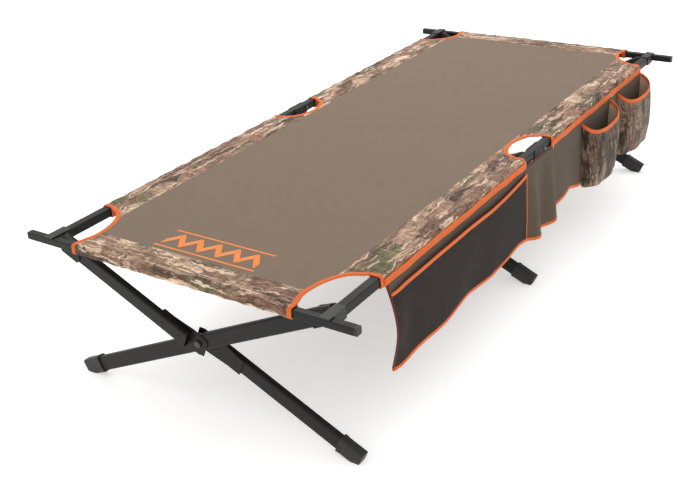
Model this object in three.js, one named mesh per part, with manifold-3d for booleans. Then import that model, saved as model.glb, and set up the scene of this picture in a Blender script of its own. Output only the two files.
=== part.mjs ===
// Folding camp cot: scissor-leg steel frame, stretched fabric bed, hanging side organiser.
// Millimetres. X across the cot, Y along it, Z up, floor at Z = 0, near end at -Y.
import * as THREE from 'three';
import { mergeVertices } from 'three/addons/utils/BufferGeometryUtils.js';
import Module from 'manifold-3d';

const wasm = await Module();
wasm.setup();

// ---- Overall size -------------------------------------------------------------------
const OVERALL_WIDTH = 1016;
const OVERALL_LENGTH = 2032;
const OVERALL_HEIGHT = 432;
const GAP = 0.3;

// ---- Fabric -------------------------------------------------------------------------
const CLOTH = 1.8;
const SLEEVE_GAP = 0.4;

// ---- Side rails: square tube, two halves hinged at mid length -----------------------
const RAIL = 25;
const RAIL_WALL = 1.6;
const RAIL_TOP = OVERALL_HEIGHT - CLOTH - SLEEVE_GAP;
const RAIL_Z = RAIL_TOP - RAIL / 2;
const RAIL_X = 425.5;
const RAIL_INNER_X = RAIL_X - RAIL / 2;
const RAIL_OUTER_X = RAIL_X + RAIL / 2;
const RAIL_END_Y = 990.6;
const HINGE_Y = 45;

// ---- End bars: square tube hooked under the rail-end caps ---------------------------
const BAR = 20;
const BAR_WALL = 1.5;
const BAR_Y = OVERALL_LENGTH / 2 - CLOTH - SLEEVE_GAP - BAR / 2;
const BAR_TOP = 427.8;
const BAR_Z = BAR_TOP - BAR / 2;
const BAR_TUBE_HALF = 500;
const PEG_X = 426;

// ---- Scissor legs: flat-oval tube on one pivot line ---------------------------------
const PIVOT_Z = 216;
const LEG_DEPTH = 42;
const LEG_WIDTH = 20;
const LEG_WALL = 1.5;
const LEG_ANGLE = Math.atan(0.4733);
const LEG_TOP_X = 410.2;
const LEG_TUBE_FOOT = 450;
const FOOT_END = 486.8;
const FOOT_TOP = 420;
const YOKE_PLATE = 2.3;
const YOKE_REACH = 120;
const BOLT_R = 4;
const SET_OFFSET = LEG_WIDTH + YOKE_PLATE + 2 * GAP;
const LEG_SETS = [
  { name: 'near', y: -958, back: 1 },
  { name: 'mid', y: -20, back: 1 },
  { name: 'far', y: 958, back: -1 },
];

// ---- Bed panel cut-outs and sleeves -------------------------------------------------
const END_SLEEVE_HALF = 340;
const SIDE_SLEEVES = [
  { name: 'near', from: -812, to: -60 },
  { name: 'far', from: 120, to: 860 },
];

// ---- Organiser on the right-hand side -----------------------------------------------
const APRON_X = 441;
const APRON = 2;
const APRON_TOP = 401.5;
const BOTTLE_POCKETS = [
  { name: 'bottle_pocket_near', from: 335, to: 575 },
  { name: 'bottle_pocket_far', from: 640, to: 870 },
];

const steel = { color: 0x34332f, roughness: 0.5, metalness: 0.6 };
const plastic = { color: 0x262624, roughness: 0.6, metalness: 0 };
const zinc = { color: 0x8b8b88, roughness: 0.35, metalness: 0.9 };
const taupe = { color: 0x8c7b69, roughness: 0.9, metalness: 0 };
const camo = { color: 0x7d6a58, roughness: 0.9, metalness: 0 };
const netting = { color: 0x3c3632, roughness: 0.9, metalness: 0 };

const cot = new THREE.Group();
cot.name = 'folding_cot';

function add(name, geometry, look) {
  const mesh = new THREE.Mesh(geometry, new THREE.MeshStandardMaterial(look));
  mesh.name = name;
  cot.add(mesh);
  return mesh;
}

// ---- Solids through the boolean kernel ----------------------------------------------
function solid(geometry) {
  const bare = geometry.clone();
  bare.deleteAttribute('normal');
  bare.deleteAttribute('uv');
  const merged = mergeVertices(bare, 1e-4);
  const mesh = new wasm.Mesh({
    numProp: 3,
    vertProperties: new Float32Array(merged.attributes.position.array),
    triVerts: new Uint32Array(merged.index.array),
  });
  return new wasm.Manifold(mesh);
}

function geometryOf(manifold) {
  const mesh = manifold.getMesh();
  const geometry = new THREE.BufferGeometry();
  geometry.setAttribute('position', new THREE.BufferAttribute(new Float32Array(mesh.vertProperties), 3));
  geometry.setIndex(new THREE.BufferAttribute(new Uint32Array(mesh.triVerts), 1));
  geometry.computeVertexNormals();
  return geometry;
}

function roundedRect(width, height, radius) {
  const x = width / 2;
  const y = height / 2;
  const shape = new THREE.Shape();
  shape.moveTo(x, -y + radius);
  shape.lineTo(x, y - radius);
  shape.absarc(x - radius, y - radius, radius, 0, Math.PI / 2);
  shape.lineTo(-x + radius, y);
  shape.absarc(-x + radius, y - radius, radius, Math.PI / 2, Math.PI);
  shape.lineTo(-x, -y + radius);
  shape.absarc(-x + radius, -y + radius, radius, Math.PI, Math.PI * 1.5);
  shape.lineTo(x - radius, -y);
  shape.absarc(x - radius, -y + radius, radius, Math.PI * 1.5, Math.PI * 2);
  return shape;
}

function polygon(points) {
  return new THREE.Shape(points.map(([x, y]) => new THREE.Vector2(x, y)));
}

function extrude(shape, from, to, curveSegments = 3) {
  const geometry = new THREE.ExtrudeGeometry(shape, { depth: to - from, bevelEnabled: false, curveSegments });
  geometry.translate(0, 0, from);
  return geometry;
}

function block(min, max) {
  const geometry = new THREE.BoxGeometry(max[0] - min[0], max[1] - min[1], max[2] - min[2]);
  geometry.translate((min[0] + max[0]) / 2, (min[1] + max[1]) / 2, (min[2] + max[2]) / 2);
  return solid(geometry);
}

// Rod between two values along one axis, centred on the other two coordinates.
function rod(axis, centre, from, to, radius, sides = 20, endRadius = radius) {
  const geometry = new THREE.CylinderGeometry(endRadius, radius, to - from, sides);
  if (axis === 'x') {
    geometry.rotateZ(-Math.PI / 2);
    geometry.translate((from + to) / 2, centre[0], centre[1]);
  } else if (axis === 'y') {
    geometry.translate(centre[0], (from + to) / 2, centre[1]);
  } else {
    geometry.rotateX(Math.PI / 2);
    geometry.translate(centre[0], centre[1], (from + to) / 2);
  }
  return solid(geometry);
}

// Profile in X-Z, extruded along Y.
function alongY(shape, from, to, curveSegments = 3) {
  const geometry = extrude(shape, 0, to - from, curveSegments);
  geometry.rotateX(Math.PI / 2);
  geometry.translate(0, to, 0);
  return geometry;
}

// Profile in Y-Z, extruded along X.
function alongX(shape, from, to, curveSegments = 3) {
  const geometry = extrude(shape, from, to, curveSegments);
  geometry.applyMatrix4(new THREE.Matrix4().makeBasis(
    new THREE.Vector3(0, 1, 0), new THREE.Vector3(0, 0, 1), new THREE.Vector3(1, 0, 0)));
  return geometry;
}

function hollow(outer, inner) {
  return solid(outer).subtract(solid(inner));
}

// ---- Side rails -----------------------------------------------------------------------
for (const side of ['left', 'right']) {
  const sign = side === 'left' ? -1 : 1;
  for (const half of ['near', 'far']) {
    const from = half === 'near' ? -RAIL_END_Y : HINGE_Y + GAP;
    const to = half === 'near' ? HINGE_Y - GAP : RAIL_END_Y;
    const inner = RAIL - 2 * RAIL_WALL;
    let rail = hollow(
      alongY(roundedRect(RAIL, RAIL, 3), from, to),
      alongY(roundedRect(inner, inner, 1.6), from - 1, to + 1),
    ).translate([sign * RAIL_X, 0, RAIL_Z]);
    if (half === 'far') {
      const bore = rod('x', [HINGE_Y + 24, RAIL_Z], -30, 30, 3.3, 16);
      rail = rail.subtract(bore.translate([sign * RAIL_X, 0, 0]));
    }
    add(`${side}_rail_${half}`, geometryOf(rail), steel);
  }
}

// ---- Rail end caps: moulded shoe round the rail end with a hook over the end bar ------
// Built for the near right corner, then mirrored to the other three.
function railCap() {
  const top = RAIL_TOP + GAP + 1.8;
  const outer = RAIL_OUTER_X + GAP + 2;
  const bottom = RAIL_Z - RAIL / 2 - GAP - 2;
  const sleeveEnd = -RAIL_END_Y + 40;
  const wallFace = -RAIL_END_Y - GAP;
  const wallFront = wallFace - 2.4;
  const hookBottom = BAR_TOP + GAP;
  let cap = block([RAIL_INNER_X, wallFront, bottom], [outer, wallFace, top]);
  cap = cap.add(block([RAIL_INNER_X, wallFace - 1, RAIL_TOP + GAP], [outer, sleeveEnd, top]));
  cap = cap.add(block([RAIL_OUTER_X + GAP, wallFace - 1, bottom], [outer, sleeveEnd, top]));
  cap = cap.add(block([RAIL_INNER_X, wallFace - 1, bottom], [outer, sleeveEnd, bottom + 2]));
  cap = cap.add(block([RAIL_INNER_X, -BAR_Y - BAR / 2, hookBottom], [outer, wallFront + 1, top]));
  return cap.add(rod('z', [PEG_X, -BAR_Y], BAR_TOP - 8, hookBottom + 1, 2.6, 16, 3.6));
}

for (const side of ['left', 'right']) {
  for (const end of ['near', 'far']) {
    const scale = [side === 'left' ? -1 : 1, end === 'near' ? 1 : -1, 1];
    add(`${side}_rail_cap_${end}`, geometryOf(railCap().scale(scale)), plastic);
  }
}

// ---- Mid hinges: channel fixed to the near half, bolt through the far half ------------
for (const side of ['left', 'right']) {
  const sign = side === 'left' ? -1 : 1;
  const half = RAIL / 2 + GAP;
  const bottom = RAIL_Z - half;
  let channel = block([-half - 2, HINGE_Y - 40, bottom - 2], [half + 2, HINGE_Y - 2, bottom]);
  for (const face of [-1, 1]) {
    const near = Math.min(face * half, face * (half + 2));
    const flange = polygon([
      [HINGE_Y - 40, bottom - 2], [HINGE_Y + 20, bottom - 2], [HINGE_Y + 38, bottom + 6],
      [HINGE_Y + 38, RAIL_TOP - 5], [HINGE_Y + 33, RAIL_TOP], [HINGE_Y - 35, RAIL_TOP],
      [HINGE_Y - 40, RAIL_TOP - 5],
    ]);
    channel = channel.add(solid(alongX(flange, near, near + 2)));
  }
  channel = channel.subtract(rod('x', [HINGE_Y + 24, RAIL_Z], -30, 30, 3.3, 16));
  add(`${side}_hinge_channel`, geometryOf(channel.translate([sign * RAIL_X, 0, 0])), steel);
  const face = half + 2 + GAP;
  let bolt = rod('x', [HINGE_Y + 24, RAIL_Z], -face - 3, face + 3, 3, 16);
  bolt = bolt.add(rod('x', [HINGE_Y + 24, RAIL_Z], face, face + 3.5, 6, 16, 4.5));
  bolt = bolt.add(rod('x', [HINGE_Y + 24, RAIL_Z], -face - 3.5, -face, 6, 16));
  add(`${side}_hinge_bolt`, geometryOf(bolt.translate([sign * RAIL_X, 0, 0])), zinc);
}

// ---- End bars with plugged ends ---------------------------------------------------------
for (const end of ['near', 'far']) {
  const y = end === 'near' ? -BAR_Y : BAR_Y;
  const inner = BAR - 2 * BAR_WALL;
  let bar = hollow(
    alongX(roundedRect(BAR, BAR, 2.5), -BAR_TUBE_HALF, BAR_TUBE_HALF),
    alongX(roundedRect(inner, inner, 1.2), -BAR_TUBE_HALF - 1, BAR_TUBE_HALF + 1),
  ).translate([0, y, BAR_Z]);
  for (const sign of [-1, 1]) {
    const slot = rod('z', [sign * PEG_X, y], BAR_Z, BAR_TOP + 2, 4.6, 16)
      .add(rod('z', [sign * (PEG_X - 8), y], BAR_Z, BAR_TOP + 2, 4.6, 16));
    const middle = block([-4, -4.5, BAR_Z], [4, 4.5, BAR_TOP + 2]).translate([sign * (PEG_X - 4), y, 0]);
    bar = bar.subtract(slot).subtract(middle);
  }
  add(`${end}_end_bar`, geometryOf(bar), steel);
  for (const side of ['left', 'right']) {
    const sign = side === 'left' ? -1 : 1;
    let plug = solid(alongX(roundedRect(BAR, BAR, 3), 0, OVERALL_WIDTH / 2 - BAR_TUBE_HALF - GAP));
    plug = plug.add(solid(alongX(roundedRect(inner - 0.6, inner - 0.6, 1), -16, 1)));
    plug = plug.translate([BAR_TUBE_HALF + GAP, 0, 0]).scale([sign, 1, 1]).translate([0, y, BAR_Z]);
    add(`${end}_bar_plug_${side}`, geometryOf(plug), plastic);
  }
}

// ---- Scissor leg sets -----------------------------------------------------------------
// A leg's own frame: local Z runs along the leg away from the pivot, local Y is the cot's Y.
function legFrame(signX, signZ, y) {
  const along = new THREE.Vector3(signX * Math.cos(LEG_ANGLE), 0, signZ * Math.sin(LEG_ANGLE));
  const lengthwise = new THREE.Vector3(0, 1, 0);
  const across = new THREE.Vector3().crossVectors(lengthwise, along);
  return new THREE.Matrix4().makeBasis(across, lengthwise, along).setPosition(0, y, PIVOT_Z);
}

function legSolid(shape, from, to, frame, curveSegments = 3) {
  return solid(extrude(shape, from, to, curveSegments).applyMatrix4(frame));
}

function legTube(from, to, frame) {
  const inner = [LEG_DEPTH - 2 * LEG_WALL, LEG_WIDTH - 2 * LEG_WALL];
  return legSolid(roundedRect(LEG_DEPTH, LEG_WIDTH, 6), from, to, frame)
    .subtract(legSolid(roundedRect(inner[0], inner[1], 4.5), from - 1, to + 1, frame));
}

function trimAtRail(tube) {
  return tube.intersect(block([-LEG_TOP_X, -1100, 0], [LEG_TOP_X, 1100, RAIL_TOP - 0.8]));
}

function foot(frame) {
  let shoe = legSolid(roundedRect(LEG_DEPTH + 4, 26, 6), FOOT_TOP, FOOT_END, frame);
  shoe = shoe.add(legSolid(roundedRect(LEG_DEPTH + 6, 28, 7), FOOT_TOP, FOOT_TOP + 9, frame));
  shoe = shoe.subtract(legSolid(roundedRect(LEG_DEPTH + 0.6, LEG_WIDTH + 0.6, 6.3), FOOT_TOP - 1, LEG_TUBE_FOOT + GAP, frame));
  return shoe.subtract(block([-600, -1200, -100], [600, 1200, 0]));
}

// Pressed channel that holds a leg's top end against the rail's inner face (right side).
function railBracket(y, sign) {
  const earInner = LEG_WIDTH / 2 + GAP;
  const earOuter = earInner + 2;
  const axisAt = (x) => PIVOT_Z + x * Math.tan(LEG_ANGLE);
  const half = LEG_DEPTH / 2 / Math.cos(LEG_ANGLE);
  const face = RAIL_INNER_X - GAP;
  let bracket = block([face - 2, -earOuter, axisAt(face) - half - 1], [face, earOuter, RAIL_TOP - 0.5]);
  const ear = polygon([
    [350, axisAt(350) - 8], [362, axisAt(362) - half - 1], [face, axisAt(face) - half - 1],
    [face, RAIL_TOP - 0.5], [LEG_TOP_X - 2, RAIL_TOP - 0.5], [366, axisAt(366) + half],
    [350, axisAt(350) + 8],
  ]);
  bracket = bracket.add(solid(alongY(ear, earInner, earOuter)));
  bracket = bracket.add(solid(alongY(ear, -earOuter, -earInner)));
  return bracket.scale([sign, 1, 1]).translate([0, y, 0]);
}

// Crossing yoke: one plate in front of the through leg, one behind, tied by a spacer post.
// Plate outlines are (across the leg, along the leg) from the pivot.
const PLATE_ARM = [
  [30, 22], [27, 50], [23.5, 82], [23.5, YOKE_REACH], [-23.5, YOKE_REACH], [-24, 98], [-33, 58], [-30, -10],
];
const FRONT_PLATE = [[-24, -24], [20, -24], [27, -12], ...PLATE_ARM];
const REAR_PLATE = [[-24, -24], [8, -24], [13, -56], [19, -65], [28, -65], [32, -56], [31, -12], ...PLATE_ARM];
const POST_RADIUS = 60;
const POST_ANGLE = Math.PI * 177.3 / 180;

function yokePlate(outline, frame) {
  const geometry = extrude(polygon(outline), -YOKE_PLATE / 2, YOKE_PLATE / 2);
  geometry.applyMatrix4(new THREE.Matrix4().makeBasis(
    new THREE.Vector3(1, 0, 0), new THREE.Vector3(0, 0, 1), new THREE.Vector3(0, -1, 0)));
  return solid(geometry.applyMatrix4(frame));
}

function yoke(y, back) {
  const step = back * (LEG_WIDTH / 2 + GAP + YOKE_PLATE / 2);
  const upperFrame = legFrame(-1, 1, y - step);
  const lowerFrame = legFrame(1, -1, y + step);
  let body = yokePlate(FRONT_PLATE, upperFrame).add(yokePlate(REAR_PLATE, lowerFrame));
  const post = [Math.cos(POST_ANGLE) * POST_RADIUS, PIVOT_Z + Math.sin(POST_ANGLE) * POST_RADIUS];
  body = body.add(rod('y', post, y - Math.abs(step), y + Math.abs(step), 5.5, 14));
  for (const [frame, outward] of [[upperFrame, -back], [lowerFrame, back]]) {
    for (const edge of [-1, 1]) {
      const inner = Math.min(edge * (LEG_DEPTH / 2 + GAP), edge * (LEG_DEPTH / 2 + GAP + 2));
      const deep = Math.min(0, outward * 14);
      const lip = polygon([[inner, deep], [inner + 2, deep], [inner + 2, deep + 14], [inner, deep + 14]]);
      body = body.add(legSolid(lip, 84, YOKE_REACH - 0.5, frame));
    }
  }
  return body.subtract(rod('y', [0, PIVOT_Z], y - 40, y + 40, BOLT_R + GAP, 16));
}

function pivotBolt(y) {
  const face = LEG_WIDTH / 2 + 2 * GAP + YOKE_PLATE;
  return rod('y', [0, PIVOT_Z], y - face - 4, y + face + 4, BOLT_R, 20)
    .add(rod('y', [0, PIVOT_Z], y - face - 5, y - face, 9, 20))
    .add(rod('y', [0, PIVOT_Z], y + face, y + face + 5, 9, 20));
}

for (const set of LEG_SETS) {
  const yUpper = set.y - set.back * SET_OFFSET;
  const yLower = set.y + set.back * SET_OFFSET;
  const upperFrame = legFrame(-1, 1, yUpper);
  const lowerFrame = legFrame(1, -1, yLower);
  add(`left_leg_upper_${set.name}`, geometryOf(trimAtRail(legTube(26, 600, upperFrame))), steel);
  add(`left_leg_lower_${set.name}`, geometryOf(legTube(26, LEG_TUBE_FOOT, lowerFrame)), steel);
  add(`left_leg_yoke_${set.name}`, geometryOf(yoke(set.y, set.back)), steel);
  const throughFrame = legFrame(1, 1, set.y);
  let through = trimAtRail(legTube(-LEG_TUBE_FOOT, 600, throughFrame));
  through = through.subtract(rod('y', [0, PIVOT_Z], set.y - 40, set.y + 40, BOLT_R + GAP, 20));
  add(`right_leg_${set.name}`, geometryOf(through), steel);
  add(`leg_pivot_${set.name}`, geometryOf(pivotBolt(set.y)), zinc);
  add(`left_leg_foot_${set.name}`, geometryOf(foot(lowerFrame)), plastic);
  add(`right_leg_foot_${set.name}`, geometryOf(foot(legFrame(-1, -1, set.y))), plastic);
  add(`left_rail_bracket_${set.name}`, geometryOf(railBracket(yUpper, -1)), steel);
  add(`right_rail_bracket_${set.name}`, geometryOf(railBracket(set.y, 1)), steel);
}

// ---- Bed fabric ---------------------------------------------------------------------------
// Centre panel with concave corners and a bite at each mid hinge.
const SHEET_X = RAIL_INNER_X - SLEEVE_GAP - CLOTH - 0.5;
const SHEET_Y = BAR_Y - BAR / 2 - SLEEVE_GAP - CLOTH - 0.3;
const MID_FROM = SIDE_SLEEVES[0].to;
const MID_TO = SIDE_SLEEVES[1].from;

function sideEdge(sign) {
  return [
    [sign * 338, -SHEET_Y], [sign * 328, -940], [sign * 340, -880], [sign * 366, -838],
    [sign * SHEET_X, SIDE_SLEEVES[0].from],
    [sign * SHEET_X, MID_FROM], [sign * 372, MID_FROM + 28], [sign * 356, (MID_FROM + MID_TO) / 2],
    [sign * 372, MID_TO - 28], [sign * SHEET_X, MID_TO],
    [sign * SHEET_X, SIDE_SLEEVES[1].to],
    [sign * 366, 890], [sign * 342, 925], [sign * 332, 960], [sign * 338, SHEET_Y],
  ];
}

const sheetOutline = polygon([...sideEdge(1), ...sideEdge(-1).reverse()]);
add('bed_sheet', extrude(sheetOutline, OVERALL_HEIGHT - CLOTH, OVERALL_HEIGHT), taupe);

for (const side of ['left', 'right']) {
  const sign = side === 'left' ? -1 : 1;
  for (const { name, from, to } of SIDE_SLEEVES) {
    const bore = RAIL + 2 * SLEEVE_GAP;
    const skin = bore + 2 * CLOTH;
    const sleeve = hollow(
      alongY(roundedRect(skin, skin, 5), from, to),
      alongY(roundedRect(bore, bore, 3), from - 1, to + 1),
    ).translate([sign * RAIL_X, 0, RAIL_Z]);
    add(`${side}_side_sleeve_${name}`, geometryOf(sleeve), camo);
  }
}

for (const end of ['near', 'far']) {
  const y = end === 'near' ? -BAR_Y : BAR_Y;
  const bore = BAR + 2 * SLEEVE_GAP;
  const skin = bore + 2 * CLOTH;
  const sleeve = hollow(
    alongX(roundedRect(skin, skin, 4), -END_SLEEVE_HALF, END_SLEEVE_HALF),
    alongX(roundedRect(bore, bore, 2.5), -END_SLEEVE_HALF - 1, END_SLEEVE_HALF + 1),
  ).translate([0, y, BAR_Z]);
  add(`${end}_end_sleeve`, geometryOf(sleeve), camo);
}

// ---- Organiser: two hanging panels, a net pocket and two bottle pockets -------------------
const nearPanel = polygon([
  [-795, 182], [-770, 170], [100, 170], [128, 178], [128, 395], [-40, 395], [-62, APRON_TOP], [-795, APRON_TOP],
]);
add('organiser_panel_near', alongX(nearPanel, APRON_X, APRON_X + APRON), taupe);

const farPanel = polygon([
  [134, 196], [860, 186], [872, 200], [872, APRON_TOP], [134, APRON_TOP],
]);
add('organiser_panel_far', alongX(farPanel, APRON_X, APRON_X + APRON), taupe);

// Net pocket: one leaf sewn to the panel along its foot and leaning out at the mouth.
const netFoot = APRON_X + APRON + 1;
const netProfile = polygon([[netFoot, 182], [netFoot + 2, 182], [netFoot + 26, 374], [netFoot + 24, 374]]);
add('organiser_net_pocket', alongY(netProfile, -786, -64), netting);

for (const { name, from, to } of BOTTLE_POCKETS) {
  const back = APRON_X + APRON + 0.5;
  const half = (to - from) / 2;
  const bulge = (width, depth) => {
    const points = [];
    for (let i = 0; i <= 16; i += 1) {
      const angle = -Math.PI / 2 + Math.PI * i / 16;
      points.push([depth * Math.cos(angle), width * Math.sin(angle)]);
    }
    return polygon(points);
  };
  let pocket = solid(extrude(bulge(half, 64), 176, 400));
  pocket = pocket.subtract(solid(extrude(bulge(half - 2.2, 61.8), 178.2, 410)));
  const mouth = block([-5, -half - 5, 0], [90, half + 5, 80]);
  const tilt = Math.atan(50 / 64) * 180 / Math.PI;
  pocket = pocket.subtract(mouth.rotate([0, tilt, 0]).translate([0, 0, 400]));
  add(name, geometryOf(pocket.translate([back, (from + to) / 2, 0])), camo);
}

export default cot;
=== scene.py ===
import math

import bmesh
import bpy
import numpy as np
from mathutils import Matrix, Vector, noise


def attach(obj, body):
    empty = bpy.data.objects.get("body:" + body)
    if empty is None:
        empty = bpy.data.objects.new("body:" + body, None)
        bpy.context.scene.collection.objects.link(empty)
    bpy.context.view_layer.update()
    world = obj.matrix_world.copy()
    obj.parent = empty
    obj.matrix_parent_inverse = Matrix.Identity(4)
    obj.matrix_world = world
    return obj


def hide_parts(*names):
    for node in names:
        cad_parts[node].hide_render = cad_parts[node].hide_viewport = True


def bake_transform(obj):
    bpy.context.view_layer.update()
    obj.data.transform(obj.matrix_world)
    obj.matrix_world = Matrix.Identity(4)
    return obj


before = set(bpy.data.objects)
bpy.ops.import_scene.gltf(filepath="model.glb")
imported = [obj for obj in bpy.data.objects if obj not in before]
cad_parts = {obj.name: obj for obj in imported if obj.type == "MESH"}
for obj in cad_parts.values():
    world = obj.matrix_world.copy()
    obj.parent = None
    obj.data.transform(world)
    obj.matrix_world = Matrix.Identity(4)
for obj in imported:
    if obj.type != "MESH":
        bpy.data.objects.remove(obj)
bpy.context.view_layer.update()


def put_in_scene(name, data):
    thing = bpy.data.objects.new(name, data)
    bpy.context.scene.collection.objects.link(thing)
    return thing


# ---- Steel tubes, brackets, yokes and hinge channels ---------------------------------
# Cold-rolled steel tube and pressed plate, cut and riveted, then sprayed with a dark
# charcoal powder coat. The coat has a fine orange peel and is rubbed paler in places.
class Wire:
    """One output on a bench. Sums written on it add Math nodes."""

    def __init__(self, bench, socket):
        self.bench = bench
        self.socket = socket

    def worked(self, operation, other, swapped=False):
        pair = (other, self) if swapped else (self, other)
        return self.bench.add("ShaderNodeMath", {"operation": operation}, {0: pair[0], 1: pair[1]})

    def __add__(self, other):
        return self.worked("ADD", other)

    def __sub__(self, other):
        return self.worked("SUBTRACT", other)

    def __mul__(self, other):
        return self.worked("MULTIPLY", other)

    def __rsub__(self, other):
        return self.worked("SUBTRACT", other, swapped=True)

    __radd__ = __add__
    __rmul__ = __mul__


class Bench:
    """A node tree being built, for a finish or for a repeated fitting."""

    def add(self, kind, settings=None, sockets=None, out=0):
        node = self.tree.nodes.new(kind)
        for name, value in (settings or {}).items():
            if name == "stops":
                stops = node.color_ramp.elements
                while len(stops) > 1:
                    stops.remove(stops[0])
                stops[0].position = value[0][0]
                stops[0].color = (*value[0][1], 1)
                for place, colour in value[1:]:
                    stops.new(place).color = (*colour, 1)
            else:
                setattr(node, name, value)
        for key, value in (sockets or {}).items():
            self.feed(node.inputs[key], value)
        return Wire(self, node.outputs[out])

    def feed(self, socket, value):
        if isinstance(value, Wire):
            self.tree.links.new(value.socket, socket)
        elif socket.type == "RGBA" and len(value) == 3:
            socket.default_value = (*value, 1)
        else:
            socket.default_value = value


class Finish(Bench):
    """A surface finish: fixed values on the shader, and what varies fed in by name."""

    def __init__(self, name, fixed):
        self.material = bpy.data.materials.new(name)
        self.material.use_nodes = True
        self.tree = self.material.node_tree
        self.shader = self.tree.nodes["Principled BSDF"]
        for socket, value in fixed.items():
            self.feed(self.shader.inputs[socket], value)

    def placed(self):
        return self.add("ShaderNodeTexCoord", out="Object")

    def speckle(self, where, scale, detail=3, roughness=0.5, distortion=0.0, out=0):
        return self.add("ShaderNodeTexNoise", None, {
            "Vector": where, "Scale": scale, "Detail": detail, "Roughness": roughness,
            "Distortion": distortion}, out)

    def mask(self, value, low, high):
        return self.add("ShaderNodeMapRange", {"interpolation_type": "SMOOTHSTEP"},
                        {"Value": value, "From Min": low, "From Max": high})

    def mixed(self, factor, first, second, blend="MIX"):
        return self.add("ShaderNodeMix", {"data_type": "RGBA", "blend_type": blend},
                        {0: factor, 6: first, 7: second}, 2)

    def times(self, first, second):
        return self.mixed(1.0, first, second, "MULTIPLY")

    def stretched(self, where, scale, turn=0.0):
        return self.add("ShaderNodeMapping", None,
                        {"Vector": where, "Scale": scale, "Rotation": (0, 0, turn)})

    def relief(self, height, strength, depth):
        self.feed(self.shader.inputs["Normal"], self.add("ShaderNodeBump", None, {
            "Height": height, "Strength": strength, "Distance": depth}))

    def surface(self, **parts):
        for name, value in parts.items():
            self.feed(self.shader.inputs[name.replace("_", " ")], value)
        return self.material


def powder_coat():
    coat = Finish("charcoal_powder_coat", {"Metallic": 0.0, "Specular IOR Level": 0.24})
    place = coat.placed()
    cloudy = coat.speckle(place, 9, 4)
    peel = coat.speckle(place, 700, 2)
    rub = coat.mask(coat.speckle(place, 34, 6, 0.7, 1.2), 0.66, 0.74)
    along = coat.speckle(coat.stretched(place, (400, 12, 400)), 1, 2)
    base = coat.mixed(cloudy, (0.0062, 0.0060, 0.0048), (0.0120, 0.0114, 0.0092))
    worn = coat.mixed(rub * 0.45, base, (0.042, 0.040, 0.034))
    coat.relief(peel * 0.7 + along * 0.3, 0.22, 0.0006)
    return coat.surface(Base_Color=worn, Roughness=0.44 + cloudy * 0.14 + rub * 0.12)


def dress(names, material):
    for name in names:
        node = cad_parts[name]
        if not node.material_slots:
            node.data.materials.append(material)
        for place in node.material_slots:
            place.material = material


SETS = ("near", "mid", "far")
SIDES = ("left", "right")
STEEL = powder_coat()
steel_nodes = [f"{side}_rail_{half}" for side in SIDES for half in ("near", "far")]
steel_nodes += [f"{side}_hinge_channel" for side in SIDES]
steel_nodes += ["near_end_bar", "far_end_bar"]
for leg_set in SETS:
    steel_nodes += [f"left_leg_upper_{leg_set}", f"left_leg_lower_{leg_set}",
                    f"left_leg_yoke_{leg_set}", f"right_leg_{leg_set}",
                    f"left_rail_bracket_{leg_set}", f"right_rail_bracket_{leg_set}"]
dress(steel_nodes, STEEL)


# ---- Rivets ---------------------------------------------------------------------------
# Domed steel rivets, 9 mm across, set cold and coated with the frame. Two hold each leg
# top in its bracket, two each leg half to the yoke, and two each channel to the rail.
class Recipe(Bench):
    """A Geometry Nodes tree with named inputs, ending realised and with a finish set."""

    def __init__(self, name, inputs):
        self.tree = bpy.data.node_groups.new(name, "GeometryNodeTree")
        face = self.tree.interface
        face.new_socket("Start", in_out="INPUT", socket_type="NodeSocketGeometry")
        self.keys = {}
        for label, kind in inputs.items():
            item = face.new_socket(label, in_out="INPUT", socket_type="NodeSocket" + kind)
            self.keys[label] = item.identifier
        self.keys["Finish"] = face.new_socket(
            "Finish", in_out="INPUT", socket_type="NodeSocketMaterial").identifier
        face.new_socket("Result", in_out="OUTPUT", socket_type="NodeSocketGeometry")
        self.given = self.tree.nodes.new("NodeGroupInput")

    def value(self, label):
        return Wire(self, self.given.outputs[label])

    def close(self, shape):
        plain = self.add("GeometryNodeRealizeInstances", None, {0: shape})
        smooth = self.add("GeometryNodeSetShadeSmooth", None, {0: plain})
        done = self.add("GeometryNodeSetMaterial", None,
                        {"Geometry": smooth, "Material": self.value("Finish")})
        end = self.tree.nodes.new("NodeGroupOutput")
        self.feed(end.inputs[0], done)

    def make(self, name, start, **values):
        holder = put_in_scene(name + "_start", start)
        step = holder.modifiers.new("recipe", "NODES")
        step.node_group = self.tree
        for label, value in values.items():
            step[self.keys[label.replace("_", " ")]] = value
        bpy.context.view_layer.update()
        graph = bpy.context.evaluated_depsgraph_get()
        mesh = bpy.data.meshes.new_from_object(holder.evaluated_get(graph))
        holder.modifiers.clear()
        bpy.data.objects.remove(holder)
        mesh.name = name
        return put_in_scene(name, mesh)


RIVET_RADIUS = 0.0046
RIVET_HEIGHT = 0.0019
PIVOT_Z = 0.216
LEG_SLOPE = 0.4733
LEG_TURN = math.atan(LEG_SLOPE)
SET_Y = {"near": (-0.958, 1), "mid": (-0.020, 1), "far": (0.958, -1)}
LEG_STEP = 0.0229
RAIL_X, RAIL_Z = 0.4255, 0.4173
BRACKET_X, BRACKET_HALF = (0.370, 0.396), 0.0123
YOKE_REACH, YOKE_FACE = (0.048, 0.104), 0.010
CHANNEL_Y, CHANNEL_HALF = (0.015, 0.034), 0.0148

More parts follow.
